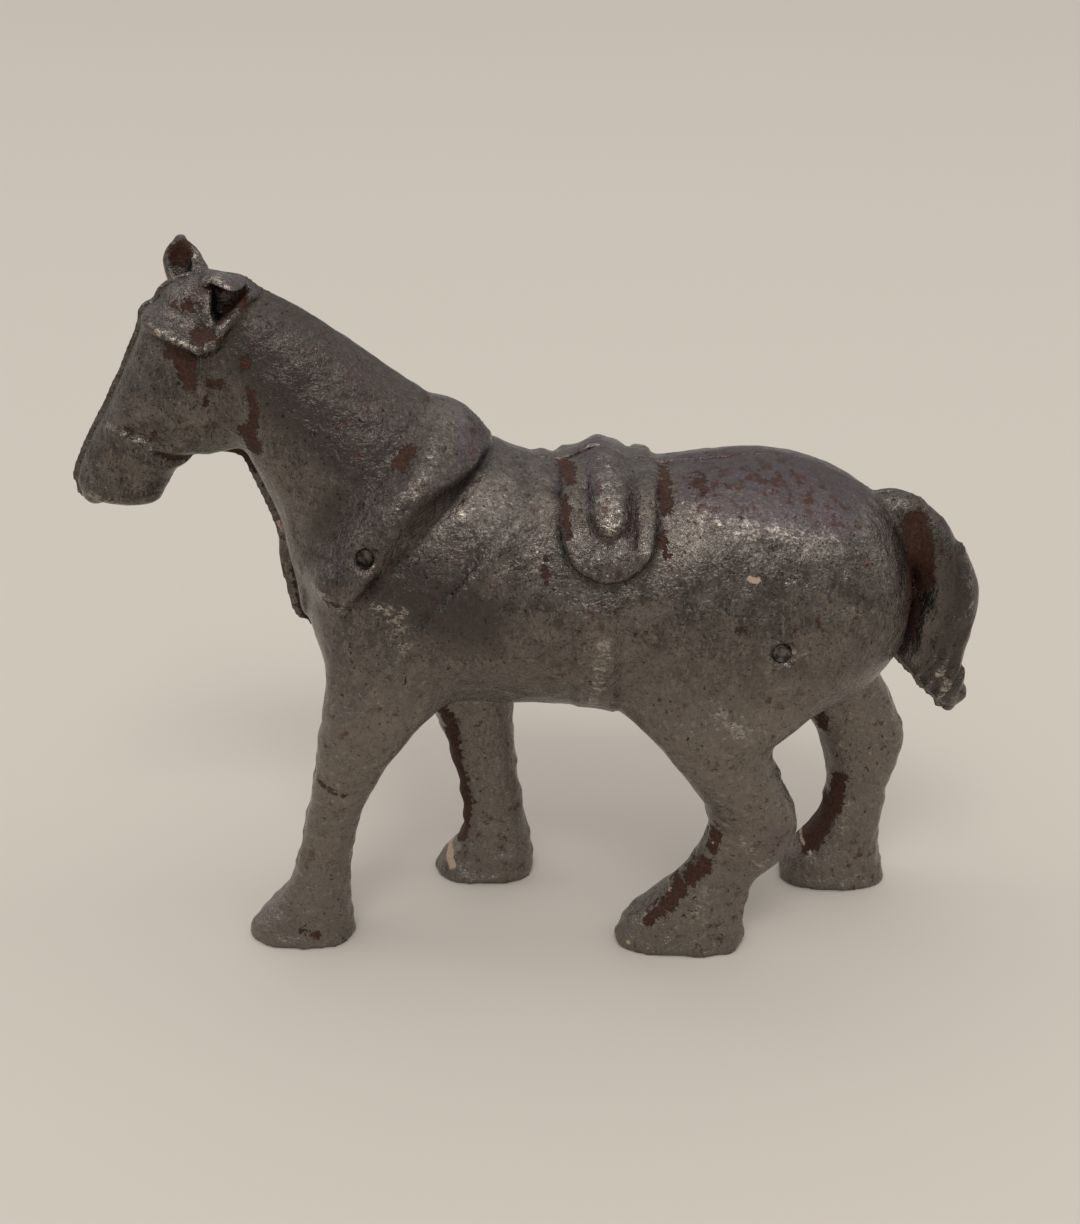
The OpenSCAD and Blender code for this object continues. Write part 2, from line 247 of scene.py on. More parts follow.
def smoothed(ribs, steps=8):
    """Ribs on smooth curves through the given ones."""
    r = np.array(ribs, float)
    r = np.concatenate([[2 * r[0] - r[1]], r, [2 * r[-1] - r[-2]]])
    rows = []
    for a, b, c, d in zip(r[:-3], r[1:-2], r[2:-1], r[3:]):
        for t in np.arange(steps) / steps:
            rows.append(
                0.5 * (2 * b + (c - a) * t + (2 * a - 5 * b + 4 * c - d) * t * t
                       + (3 * b - a - 3 * c + d) * t ** 3)
            )
    return np.array(rows + [r[-2]])


def side_view(ribs, xs, zs, grow):
    """For each point of the grid's side view: its height over the limb's middle line, the
    limb's half height, half width and centre y there, and how far it lies past the ends."""
    r = smoothed(ribs)
    top, bottom = r[:, 0:2], r[:, 2:4]
    centre = (top + bottom) / 2
    tall = np.hypot(*(top - bottom).T) / 2 + grow
    wide = r[:, 5] + grow
    up = (top - bottom) / np.hypot(*(top - bottom).T)[:, None]
    across = np.stack([up[:, 1], -up[:, 0]], 1)
    if ((centre[1:] - centre[:-1]) * across[:-1]).sum() < 0:
        across = -across
    px, pz = np.meshgrid(xs, zs, indexing="ij")
    point = np.stack([px, pz], -1).reshape(-1, 2)
    past = point @ across.T - (centre * across).sum(1)
    height = point @ up.T - (centre * up).sum(1)
    far = past ** 2 + height ** 2
    # The ribs' planes that a point lies between, where the limb itself is near
    crossing = (past[:, :-1] >= 0) & (past[:, 1:] < 0)
    near = 1.6 * tall[:-1] + 4
    crossing &= np.abs(height[:, :-1]) < near
    cost = np.where(crossing, far[:, :-1] + far[:, 1:], NOWHERE)
    i = cost.argmin(1)
    rows = np.arange(len(point))
    found = cost[rows, i] < NOWHERE
    w = past[rows, i] / np.maximum(past[rows, i] - past[rows, i + 1], 1e-6)
    w = np.where(found, w, 0)
    from_end = far[:, -1] < far[:, 0]
    i = np.where(found, i, np.where(from_end, len(r) - 1, 0))
    j = np.minimum(i + 1, len(r) - 1)
    over = np.where(found, 0, np.where(from_end, past[:, -1], -past[:, 0]))
    far_off = 20
    over = np.where(~found & (over < 0), far_off, over)

    def mixed(values):
        return values[i] * (1 - w) + values[j] * w

    u = height[rows, i] * (1 - w) + height[rows, j] * w
    a, b, yc = mixed(tall), mixed(wide), mixed(r[:, 4])
    shape = (len(xs), 1, len(zs))
    return [v.reshape(shape).astype(np.float32) for v in (u, a, b, yc, over)]


def limb(ribs, xs, ys, zs, grow=0.0, cap=1.5, squareness=2.0):
    """The field of a loft through ribs, on the grid xs, ys, zs. Its ends bulge by cap. Above
    2, squareness flattens the sides of the sections."""
    u, a, b, yc, over = side_view(ribs, xs, zs, grow)
    v = ys[None, :, None] - yc
    if squareness == 2.0:
        k0 = np.sqrt((u / a) ** 2 + (over / cap) ** 2 + (v / b) ** 2)
        k1 = np.sqrt((u / a ** 2) ** 2 + (over / cap ** 2) ** 2 + (v / b ** 2) ** 2)
        return k0 * (k0 - 1) / np.maximum(k1, 1e-6)
    p = squareness
    terms = [np.abs(u / a), over / cap, np.abs(v / b)]
    k0 = np.maximum(sum(t ** p for t in terms), 1e-9) ** (1 / p)
    slopes = [t ** (p - 1) / size for t, size in zip(terms, (a, cap, b))]
    k1 = np.sqrt(sum(t ** 2 for t in slopes))
    return (k0 - 1) * k0 ** (p - 1) / np.maximum(k1, 1e-6)


def coat(side, xs, ys, zs):
    """The horse's smooth outer form, before any relief."""
    fore, hind, ear = (
        (LEFT_FORE, LEFT_HIND, LEFT_EAR) if side == LEFT else (RIGHT_FORE, RIGHT_HIND, RIGHT_EAR)
    )
    grid = (xs, ys, zs)
    f = smooth_union(limb(TRUNK, *grid), limb(NECK, *grid), 4)
    f = smooth_union(f, limb(HEAD, *grid), 2.5)
    f = smooth_union(f, limb(TAIL, *grid), 1.2)
    for leg in (fore, hind):
        f = smooth_union(f, limb(leg, *grid, cap=9, squareness=2.6), LEG_BLEND)
    return smooth_union(f, limb(ear, *grid, cap=0.8), 1.0)


def hollow(xs, ys, zs, shrink):
    """The space inside the body and neck, shrink mm in from their surface."""
    trunk = limb(TRUNK[1:-2], xs, ys, zs, -shrink)
    neck = limb(NECK[:-2], xs, ys, zs, -shrink)
    return np.minimum(trunk, neck)


# --- Relief: how far the surface stands out at a point, in millimetres ---

def collar_relief(x, z):
    """Low and flat-topped over the crest, a high roll down the side that slopes off to the
    rear, and a rounded lobe on the chest."""
    behind = side_of(x, z, COLLAR_FRONT)
    _, along = to_line(x, z, COLLAR_FRONT)
    flat = fade(along, 0.1, 0.3)
    rear = 6.2 + 3.8 * flat + 2.2 * fade(along, 0.75, 0.5)
    rise = fade(behind, 4.8 - 2 * flat, -0.4) * fade(behind, rear, 10.9)
    height = 2.9 - 2.3 * fade(along, 0.06, 0.3) - 0.8 * fade(along, 0.9, 0.6)
    lobe = fade(np.hypot((x + 35.4) / 1.15, z - 70.8), 2.0, 7.0)
    groove = bump(behind + 1.0, 1.3) * fade(along, 0.6, 0.9)
    rear_groove = bump(behind - 11.4, 0.8) * fade(along, 0.35, 0.8)
    return height * rise * fade(along, 0.9, 1.0) + 1.3 * lobe - 0.25 * groove - 0.5 * rear_groove


def tongue(x, z, centre, half, bottom):
    """Signed distance from a strip that hangs down and has a round lower end."""
    low = bottom + half
    straight = np.abs(x - centre) - half
    around = np.hypot(x - centre, z - low) - half
    return np.where(z > low, straight, around)


def saddle_relief(x, z):
    """A pad with a broad raised roll in the middle and a strap behind it, which run together
    into one dome over the back."""
    pad = tongue(x, z, PAD_X, PAD_HALF, PAD_BOTTOM)
    inner = tongue(x, z, PAD_ROLL_X, PAD_ROLL_HALF, PAD_ROLL_BOTTOM)
    crest = fade(z, 87.0, 84.4)
    side = 1.5 * fade(pad, -1.3, 0.2)
    side += 0.4 * fade(pad, -3.6, -2.0)
    side += 1.8 * fade(inner, -2.6, 0.3)
    side += 0.7 * roll(x - 18.7, 1.9) * fade(z, 76.5, 75.0)
    side -= 0.7 * bump(x - 16.8, 0.7) * fade(z, 78, 76)
    side -= 0.3 * bump(x - 9.2, 0.7) * fade(z, 79.5, 77.5)
    dome = 0.7 * fade(pad, -4.0, 0.3) + 2.7 * bump(x - 12.2, 4.0) * fade(pad, -2.0, 0.3)
    return side * (1 - crest) + dome * crest * fade(z, 91.5, 93.5)


def girth_relief(x, y, z):
    """The girth strap, with its leaning row of oval studs."""
    lean = 10.3 + (z - GIRTH_BOTTOM) * 0.13
    below = fade(z, 66, 71)
    strap = (0.5 + 0.2 * fade(z, 60, 48)) * fade(np.abs(x - GIRTH_X), 3.1, 3.7) * below
    row = (z - STUD_BOTTOM) / STUD_PITCH
    stud_z = (row - np.round(row)) * STUD_PITCH
    in_row = (row > -0.5) & (row < STUD_COUNT - 0.5)
    studs = 0.55 * roll(np.hypot((x - lean - 0.6) / 1.35, stud_z / 0.75), 1.0) * in_row
    return (strap + studs * below) * (np.abs(y) > 2)


def bridle_relief(x, z):
    """Browband with the hollows around it, cheekpiece and noseband."""
    d, along = to_line(x, z, BROWBAND)
    below, _ = to_line(x, z + 1.9, BROWBAND)
    above, _ = to_line(x, z - 2.7, BROWBAND)
    high = 2.0 * bump(d, 1.4) * fade(along, 0.74, 0.93) - 0.35 * bump(below, 0.9) * (d > 1.5)
    high -= 0.5 * bump(above, 1.2) * fade(along, 0.6, 0.8)
    high -= 0.55 * bump(np.hypot((x + 53.4) / 1.5, z - 111.6), 2.6) * (d > 1.4)
    d, along = to_line(x, z, CHEEKPIECE)
    high += 0.6 * bump(d, 1.5) * fade(along, 0.85, 1.0)
    dip, _ = to_line(x + 3.2, z - 0.8, CHEEKPIECE)
    high -= 0.45 * bump(dip, 1.9)
    d, _ = to_line(x, z, NOSEBAND)
    high += 0.55 * bump(d, 0.9)
    d, _ = to_line(x, z - 1.0, NOSEBAND)
    return high - 0.22 * bump(d, 0.45)


def face_relief(x, z):
    """Mouth, lips and nostril."""
    d, _ = to_line(x, z, MOUTH)
    high = -0.9 * bump(d, 0.95)
    d, _ = to_line(x, z, LIP)
    high += 0.3 * bump(d, 0.6)
    high -= 0.5 * bump(np.hypot((x + 71.6) / 1.3, z - 83.2), 0.9)
    high += 0.25 * bump(np.hypot(x + 72.2, z - 80.8), 2.0)
    high -= 0.25 * bump(np.hypot((x + 64.7) / 1.2, z - 91.6), 0.6)
    crease, _ = to_line(x, z, [(-62.4, 90.9), (-61.0, 91.8), (-59.9, 93.0)])
    return high - 0.4 * bump(crease, 0.45)


def hair_relief(x, y, z):
    """Grooves of the forelock and of the tail's hair, and the fold down the tail."""
    lock = bump(np.hypot(x + 52, z - 114.2), 2.6)
    waves = np.sin((x * 0.75 - z * 0.65 + 0.5 * np.sin(z * 1.3)) * 3.4)
    high = 0.28 * lock * waves
    tuft = fade(x, 65.5, 63.5) * fade(z, 56, 60) * fade(z, 45, 42.5)
    bend = 1.3 * wander(x, y, z, 5.5, 8)
    strands = np.sin((x - 0.32 * z + 0.55 * np.sin(z * 0.45) + bend) * 2.4)
    high += 0.34 * tuft * strands
    upper = fade(x, 67, 64) * fade(z, 62, 57) * fade(-z, -78, -81)
    high += 0.1 * upper * np.sin((x + 0.15 * z) * 2.3)
    fold, _ = to_line(x, z, [(65.6, 79.0), (70.0, 74.5), (71.1, 68.0), (70.7, 62.0), (68.4, 59.0)])
    return high - 0.5 * bump(fold, 0.8)


def tail_gap(x, z):
    """The rusty hollow between the buttock and the tail."""
    d, _ = to_line(x, z, [(62.8, 76.5), (64.2, 72), (64.3, 66.5), (63.6, 62.5)])
    low, _ = to_line(x, z, [(63.4, 60.5), (63.2, 57.5)])
    return -1.6 * bump(d, 2.0) - 0.8 * bump(low, 1.2)


def casting_noise(x, y, z):
    """The unevenness of an old sand casting: slow swells, then grain and small pits."""
    high = 0.26 * wander(x, y, z, 13, 1)
    high += 0.15 * wander(x, y, z, 5, 2)
    high += 0.11 * wander(x, y, z, 2.4, 3)
    high += 0.08 * wander(x, y, z * 0.55, 1.3, 4)
    return high


def leg_edges(x, y, z):
    """Rough legs with ragged flash along their parting line, and chipped, flared hooves."""
    line = bump(np.abs(np.abs(y) - 11.3), 1.8)
    high = line * (0.10 + 0.5 * np.clip(wander(x, y, z, 1.9, 5), -0.5, 1))
    high += 0.13 * wander(x, y, z, 1.7, 9) + 0.16 * wander(x, y, z, 3.2, 10)
    hoof = fade(z, 5.5, 8.5)
    sole = fade(z, 0.6, 2.6)
    return high * fade(z, 36, 46) + 0.25 * hoof * wander(x, y, z, 2.2, 6) + 0.3 * sole


def throat_strip(x, y, z):
    """The right half stands forward of the left one along the throat and the chest."""
    front = fade(x, -33, -29) * fade(-x, 48, 52) * fade(z, 90, 93) * fade(-z, -46, -42)
    lobe = fade(np.hypot(x + 39.5, z - 67.0), 2.0, 5.0)
    return (1.5 * front + 0.9 * lobe) * fade(np.abs(y), 3.0, 6.0)


def screw_dimples(x, z):
    """A shallow dimple with a faint rim around the end of each screw."""
    high = 0
    for screw in SCREWS:
        r = np.hypot(x - screw["at"][0], z - screw["at"][1])
        high = high + 0.2 * bump(r - 2.9, 0.6) - 0.6 * fade(r, 1.6, 3.0)
    return high


def scratches(x, z):
    """Three long scratches and the bare nick on the flank."""
    high = np.zeros_like(x)
    for line in (
        [(-7.0, 77.5), (-11.7, 70.6), (-16.6, 66.1), (-22.4, 63.4)],
        [(-8.4, 75.0), (-12.6, 69.2), (-17.6, 64.6), (-21.4, 62.3)],
        [(44.1, 78.8), (40.5, 72.2), (36.1, 64.8)],
    ):
        d, _ = to_line(x, z, line)
        high -= 0.28 * bump(d, 0.32)
    d, _ = to_line(x, z, [(33.3, 65.4), (34.9, 64.4)])
    return high - 0.55 * bump(d, 0.5)


def relief(side, x, y, z):
    """All the relief of one half, each kind kept to its own place."""
    high = collar_relief(x, z) * (z > 60)
    high += saddle_relief(x, z) * (z > 68)
    high += girth_relief(x, y, z) * ((z < 74) & (np.abs(x - 10) < 5))
    head = (x < -38) & (z > 76)
    high += bridle_relief(x, z) * head
    high += face_relief(x, z) * head
    high += hair_relief(x, y, z)
    high += tail_gap(x, z) * (x > 58)
    high += casting_noise(x, y, z)
    high += leg_edges(x, y, z)
    if side == LEFT:
        return high + scratches(x, z) + screw_dimples(x, z)
    return high + throat_strip(x, y, z)


# --- One half of the casting ---

def shift_of(side):
    """How far a half is moved along X, half of it forward and half of it back."""
    return -side * CASTING_SHIFT / 2


def grid_of(side):
    spans = (X_SPAN, Y_SPANS[side], Z_SPAN)
    return [np.arange(*span, STEP).astype(np.float32) for span in spans]


def open_grid(xs, ys, zs):
    return xs[:, None, None], ys[None, :, None], zs[None, None, :]


def bar_along_y(gx, gz, at, radius):
    return np.hypot(gx - at[0], gz - at[1]) - radius


def ear_pocket(side, gx, gy, gz):
    """The hollow of an ear: a spoon in the right one, a deep niche under the left one."""
    if side == RIGHT:
        parts = zip((gx, gy, gz), SPOON_CENTRE, SPOON_RADII)
        d = np.sqrt(sum(((v - centre) / radius) ** 2 for v, centre, radius in parts))
        return (d - 1) * SPOON_RADII[0]
    inside = np.full(gx.shape, -NOWHERE, np.float32)
    for (ax, az), (bx, bz) in zip(NICHE, NICHE[1:] + NICHE[:1]):
        length = math.hypot(bx - ax, bz - az)
        inside = np.maximum(inside, ((bx - ax) * (gz - az) - (bz - az) * (gx - ax)) / length)
    return np.maximum(inside, gy - NICHE_Y)


def outer_form(side, xs, ys, zs):
    """The whole horse with one side's legs, relief and ear, not yet hollow or cut in half."""
    f = coat(side, xs, ys, zs)
    i, j, k = np.nonzero(np.abs(f) < RELIEF_REACH)
    f[i, j, k] -= relief(side, xs[i], ys[j], zs[k])
    return np.maximum(f, -ear_pocket(side, *np.broadcast_arrays(*open_grid(xs, ys, zs))))


def coin_space(xs, ys, zs, shift):
    """The rough hollow inside a half, with the screws' bosses left standing in it."""
    space = hollow(xs - shift, ys, zs, WALL)
    i, j, k = np.nonzero(np.abs(space) < ROUGH_REACH)
    space[i, j, k] += 0.3 * wander(xs[i], ys[j], zs[k], 3.5, 7)
    gx, _, gz = open_grid(xs, ys, zs)
    for screw in SCREWS:
        at = (screw["at"][0] + shift, screw["at"][1])
        space = np.maximum(space, -bar_along_y(gx, gz, at, BOSS_RADIUS))
    return space


def with_lugs(f, xs, ys, zs, shift):
    """Adds the locating lugs, which reach past the rim but stay clear of the other half."""
    gx, gy, gz = open_grid(xs, ys, zs)
    room = hollow(xs - shift, ys, zs, WALL + LUG_PLAY)
    for at in LUGS:
        lug = bar_along_y(gx - shift, gz, at, LUG_RADIUS)
        lug = np.maximum(lug, np.maximum(gy - LUG_REACH, -LUG_ROOT - gy))
        f = np.minimum(f, np.maximum(lug, np.minimum(room, gy + RIM)))
    return f


def with_openings(side, f, gx, gy, gz):
    """Cuts the screws' bores and head pockets, and the coin slot."""
    for screw in SCREWS:
        bore = TAPPED_RADIUS if side == LEFT else BORE_RADIUS
        f = np.maximum(f, -bar_along_y(gx, gz, screw["at"], bore))
        if side == RIGHT:
            pocket = bar_along_y(gx, gz, screw["at"], POCKET_RADIUS)
            f = np.maximum(f, -np.maximum(pocket, screw["seat"] - gy))
    slot = np.maximum(np.abs(gx - SLOT_X) - SLOT_LENGTH / 2, np.abs(gy) - SLOT_WIDTH / 2)
    return np.maximum(f, -np.maximum(slot, gz - SLOT_TOP))


def half_field(side):
    """The grid of one half and its finished field."""
    shift = shift_of(side)
    xs, ys, zs = grid_of(side)
    gx, gy, gz = open_grid(xs, ys, zs)
    f = outer_form(side, xs - shift, ys, zs)
    f = np.maximum(f, -coin_space(xs, ys, zs, shift))
    f = np.maximum(f, gy + RIM if side == LEFT else RIM - gy)
    if side == LEFT:
        f = with_lugs(f, xs, ys, zs, shift)
    f = np.maximum(f, -gz)
    f = with_openings(side, f, gx, gy, gz)
    return (xs, ys, zs), f.astype(np.float32)


# --- From field to mesh ---

def settle(f):
    """Joins corners of the grid that touch only across a face, so every edge has two faces."""
    just_inside = -0.02
    for _ in range(12):
        changed = 0
        for axis in range(3):
            g = np.moveaxis(f, axis, 0)
            a, b, c, d = g[:, :-1, :-1], g[:, 1:, :-1], g[:, 1:, 1:], g[:, :-1, 1:]
            ia, ib, ic, id_ = (v < 0 for v in (a, b, c, d))
            first = ia & ic & ~ib & ~id_
            second = ib & id_ & ~ia & ~ic
            changed += int(first.sum() + second.sum())
            b[first] = just_inside
            a[second] = just_inside
        if not changed:
            return


def crossing_points(f, cell):
    """The mean of the places where the field crosses zero on the edges of each cell."""
    total = np.zeros((len(cell), 3))
    hits = np.zeros(len(cell))
    for axis in range(3):
        others = [a for a in range(3) if a != axis]
        for p in (0, 1):
            for q in (0, 1):
                start = cell.copy()
                start[:, others[0]] += p
                start[:, others[1]] += q
                end = start.copy()
                end[:, axis] += 1
                fa, fb = f[tuple(start.T)], f[tuple(end.T)]
                crosses = (fa < 0) != (fb < 0)
                t = np.where(crosses, fa / np.where(crosses, fa - fb, 1), 0)
                point = start.astype(float)
                point[:, axis] += t
                total += point * crosses[:, None]
                hits += crosses
    return total / hits[:, None]


def quads_between(inside, number):
    """A quad, facing out, for each edge of the grid with one end inside and one outside."""
    faces = []
    for axis in range(3):
        g = np.moveaxis(inside, axis, 0)
        low, high = g[:-1, 1:-1, 1:-1], g[1:, 1:-1, 1:-1]
        n = np.moveaxis(number, axis, 0)
        for where, flip in ((low & ~high, False), (~low & high, True)):
            a, b, c = np.nonzero(where)
            b, c = b + 1, c + 1
            quad = [n[a, b - 1, c - 1], n[a, b, c - 1], n[a, b, c], n[a, b - 1, c]]
            if flip != (axis == 1):
                quad = quad[::-1]
            faces.append(np.stack(quad, 1))
    return np.concatenate(faces)


def surface(axes, f):
    """Closed quad mesh of the places where the field is zero: one vertex in each cell."""
    settle(f)
    inside = f < 0
    count = sum(
        inside[i:f.shape[0] - 1 + i, j:f.shape[1] - 1 + j, k:f.shape[2] - 1 + k].astype(np.int8)
        for i in (0, 1) for j in (0, 1) for k in (0, 1)
    )
    cell = np.argwhere((count > 0) & (count < 8))
    number = np.full(count.shape, -1, np.int64)
    number[tuple(cell.T)] = np.arange(len(cell))
    verts = crossing_points(f, cell)
    faces = quads_between(inside, number)
    return relaxed(axes, f, verts, faces), faces


def sampled(f, p):
    """The field's value and slope at grid positions p."""
    low = np.clip(np.floor(p).astype(np.int64), 0, np.array(f.shape) - 2)
    t = p - low
    corner = {}
    for i in (0, 1):
        for j in (0, 1):
            for k in (0, 1):
                corner[i, j, k] = f[low[:, 0] + i, low[:, 1] + j, low[:, 2] + k]

    def mix(axis_slope):
        total = 0
        for (i, j, k), v in corner.items():
            w = 1.0
            for axis, (one, s) in enumerate(zip((i, j, k), t.T)):
                if axis == axis_slope:
                    w = w * (1 if one else -1)
                else:
                    w = w * (s if one else 1 - s)
            total = total + w * v
        return total

    return mix(None), np.stack([mix(0), mix(1), mix(2)], 1)


def relaxed(axes, f, verts, faces):
    """Evens out the vertices, then puts them back on the surface."""
    edges = np.concatenate([faces[:, [i, (i + 1) % 4]] for i in range(4)])
    degree = np.bincount(edges[:, 0], minlength=len(verts))[:, None]
    flattest, furthest = 0.02, 0.5
    for _ in range(2):
        mean = np.stack(
            [np.bincount(edges[:, 0], verts[edges[:, 1], a], len(verts)) for a in range(3)], 1
        ) / degree
        verts = 0.5 * verts + 0.5 * mean
        for _ in range(2):
            value, slope = sampled(f, verts)
            move = value[:, None] * slope / np.maximum((slope ** 2).sum(1), flattest)[:, None]
            verts = verts - np.clip(move, -furthest, furthest)
    low = np.array([a[0] for a in axes])
    return low + verts * (axes[0][1] - axes[0][0])


def mesh_object(name, verts, faces):
    mesh = bpy.data.meshes.new(name)
    mesh.from_pydata(verts * MM + ORIGIN, [], faces.tolist())
    mesh.update()
    mesh.shade_smooth()
    obj = bpy.data.objects.new(name, mesh)
    bpy.context.scene.collection.objects.link(obj)
    return obj


# --- Marks: where rust, rubbed paint, chips and tints lie, and the painted highlights, painted shade and painted reflection ---

# Each mark is a chain of (x, z) points and its half width.
BOTH_MARKS = {
    "rust": [([(64.0, 62.5), (63.2, 57.5)], 1.3)],
    # The browband's and the saddle roll's bright marks are painted highlights
    "wear_and_highlight": [(BROWBAND[1:7], 0.45), ([(12.6, 86.6), (13.4, 80.6)], 1.7)],
    "chip": [],
    # The purple marks on the top of the back, the neck's crest and the saddle are a painted
    # reflection of the ceiling
    "tint_and_reflection": [([(28.0, 86.0), (50.0, 83.0)], 4.6), ([(-8.5, 92.5)], 3.0), ([(11.0, 88.0)], 3.0)],
    "painted_shade": [],
}
LEFT_MARKS = {
    "rust": [
        ([(-56.3, 106.2), (-54.8, 105.2), (-54.2, 103.6), (-53.8, 101.4)], 1.5),
        ([(-50.6, 101.0), (-48.4, 100.9)], 0.7), ([(-51.4, 97.6)], 0.8),
        ([(-44.7, 104.3)], 1.2), ([(-43.9, 99.8), (-43.6, 97.0), (-44.6, 93.4)], 0.8),
        ([(-45.4, 92.6), (-44.4, 90.2)], 1.4), ([(-53.6, 112.6)], 1.1),
        ([(-52.2, 108.6), (-49.5, 109.0)], 0.9), ([(-45.2, 113.2)], 1.0),
        ([(-61.0, 91.2), (-59.6, 92.6)], 0.45), ([(-64.7, 91.5)], 0.6),
        ([(-59.4, 87.4), (-56.6, 86.5), (-54.6, 86.1)], 0.8),
        ([(-20.6, 89.6), (-18.9, 91.1)], 1.0), ([(-32.0, 67.6), (-30.6, 67.4)], 0.6),
        ([(4.9, 86.4), (6.6, 85.7)], 0.7), ([(6.0, 83.0), (6.2, 79.4)], 0.6),
        ([(21.6, 84.9), (22.0, 82.2)], 0.9), ([(26.6, 84.9), (28.0, 84.7)], 0.6),
        ([(21.2, 78.6), (22.0, 76.4)], 0.5), ([(62.9, 76.5), (64.3, 71), (64.2, 66.5)], 2.3),
        ([(31.9, 23.9), (31.6, 20.6)], 0.9),
        ([(-50.2, 115.0), (-44.6, 114.2), (-48.6, 111.0)], 0.4),
        ([(30.4, 17.6), (27.8, 14.2)], 1.2), ([(26.2, 12.6), (24.4, 9.6)], 1.2),
        ([(22.6, 8.4), (20.8, 6.1)], 0.9), ([(-35.6, 33.6), (-33.6, 31.8)], 0.35),
        ([(53.6, 69.2)], 0.6), ([(34.1, 64.9)], 0.6), ([(-33.0, 31.6), (-30.8, 31.2)], 0.3),
        ([(-39.6, 3.2), (-37.4, 2.6)], 0.6), ([(2.8, 75.2), (3.0, 72)], 0.3),
    ],
    # Painted highlights: the collar ridge, the patch behind the collar, the band along the back and
    # the tail's rim; the other marks are rubbed paint
    "wear_and_highlight": [
        ([(-14.6, 91.4), (-19.6, 84.6)], 0.7),
        ([(-23.4, 66.8), (-20.6, 65.6), (-21.0, 61.4)], 2.4), ([(11.4, 62.0), (10.6, 49.0)], 2.0),
        ([(18.5, 79.0), (18.4, 77.2)], 0.3), ([(26.0, 81.0), (37.0, 80.0), (48.6, 77.6)], 2.2),
        ([(41.2, 60.4)], 3.4), ([(31.6, 49.6), (35.0, 45.6)], 2.6),
        ([(58.0, 69.0), (57.0, 72.4)], 0.9), ([(69.0, 52.0), (70.4, 46.0)], 1.4),
        ([(66.0, 80.4), (71.6, 75.4), (73.2, 67.0), (72.6, 61.0)], 0.5),
        ([(51.6, 67.4), (57.2, 66.0)], 0.8), ([(-36.2, 70.6), (-30, 66.6)], 1.0),
        ([(10.2, 48.4), (11.0, 47.0)], 1.6), ([(-10.3, 82.0)], 1.8), ([(-24.6, 74.6)], 1.2),
        ([(30.5, 12.5), (29.0, 6.0)], 1.8), ([(36.6, 24.0), (39.6, 18.0)], 1.6),
        ([(-48.0, 117.2), (-50.6, 116.6)], 0.4), ([(62.2, 64.6), (61.9, 56.0), (57.5, 50)], 0.6),
        ([(-64.0, 90.8), (-61.6, 89.6)], 0.6), ([(-72.6, 79.6), (-68.0, 78.6)], 0.7),
    ],
    "chip": [
        ([(35.4, 73.2), (36.3, 72.8)], 0.5), ([(24.4, 11.8)], 0.3),
        ([(31.4, 22.0)], 0.3), ([(17.4, 1.6)], 0.4), ([(-39.4, 66.0)], 0.4),
    ],
    "tint_and_reflection": [
        ([(-50.0, 117.0), (-44.0, 117.0)], 2.4), ([(43.0, 23.5)], 2.6),
    ],
    # Painted shade: darkens the neck, the collar's slopes, the top of the back, the tail and the
    # shoulder, which the light leaves dark
    "painted_shade": [
        ([(-24.0, 92.0), (-35.0, 101.0), (-40.0, 107.0)], 8.0), ([(28.0, 89.0), (50.0, 86.0)], 4.6),
        ([(70.0, 75.0), (73.0, 64.0), (70.0, 48.0)], 5.0), ([(-9.0, 88.6), (-17.6, 82.6)], 2.6),
        ([(-30.0, 84.0), (-34.0, 78.0)], 2.0), ([(-21.0, 71.0), (-9.0, 66.0)], 5.5),
    ],
}
RIGHT_MARKS = {
    "rust": [
        ([(-13.9, 31.0), (-13.2, 24.0), (-11.4, 16.0), (-12.8, 8.0)], 1.3),
        ([(-15.6, 36.0), (-14.0, 32.5)], 1.1), ([(56.4, 22.5), (55.9, 17.6)], 1.2),
        ([(55.4, 16.6), (51.6, 8.6)], 1.9), ([(52.0, 78.0)], 1.1), ([(-52.6, 103.6)], 1.3),
        ([(20.4, 70.6), (24.0, 66.0)], 0.8), ([(-30.0, 84.6), (-33.6, 80.0)], 0.9),
        ([(33.6, 52.0)], 1.4), ([(-45.6, 99.6), (-46.4, 92.6)], 0.8), ([(-9.0, 50.6)], 1.0),
        ([(62.9, 76.5), (64.3, 71), (64.2, 66.5)], 1.9),
        ([(50.6, 40.0), (52.6, 33.0)], 0.9), ([(-55.6, 118.4)], 1.9),
        ([(-52.0, 86.6), (-47.0, 87.2), (-43.6, 84.0), (-40.6, 79.0), (-39.0, 73.0)], 1.5),
        ([(-38.4, 65.0), (-37.0, 57.0), (-36.4, 50.0)], 1.3),
    ],
    # Painted highlights: the collar ridge and the band along the back; the other marks are rubbed
    # paint
    "wear_and_highlight": [
        ([(-15.6, 90.4), (-21.6, 82.6)], 1.6),
        ([(18.5, 79.4), (18.4, 77.2)], 0.3), ([(30.0, 80.4), (46.0, 79.4)], 0.9),
        ([(41.2, 60.4)], 4.4), ([(-25.2, 75.5)], 4.4), ([(52.0, 55.0)], 3.0), ([(-20.0, 60.0)], 3.4),
        ([(-54.0, 118.0)], 0.9), ([(58.0, 18.0), (57.0, 12.0)], 1.2),
    ],
    "chip": [
        ([(-14.6, 4.6), (-14.3, 2.8)], 0.75), ([(50.5, 8.2)], 0.4), ([(51.8, 6.9)], 0.4),
        ([(-41.4, 74.0), (-40.9, 72.6)], 0.35),
    ],
    "tint_and_reflection": [],
    # Painted shade on the neck, the top of the back, the tail and the belly
    "painted_shade": [
        ([(-26.0, 90.0), (-35.0, 99.0), (-40.0, 106.0)], 6.0), ([(28.0, 89.0), (50.0, 86.0)], 4.0),
        ([(70.0, 75.0), (73.0, 64.0), (70.0, 48.0)], 3.0), ([(10.0, 52.0), (34.0, 54.0)], 4.0),
    ],
}


def store(obj, name, values):
    layer = obj.data.attributes.new(name, "FLOAT", "POINT")
    layer.data.foreach_set("value", values.astype(np.float32))


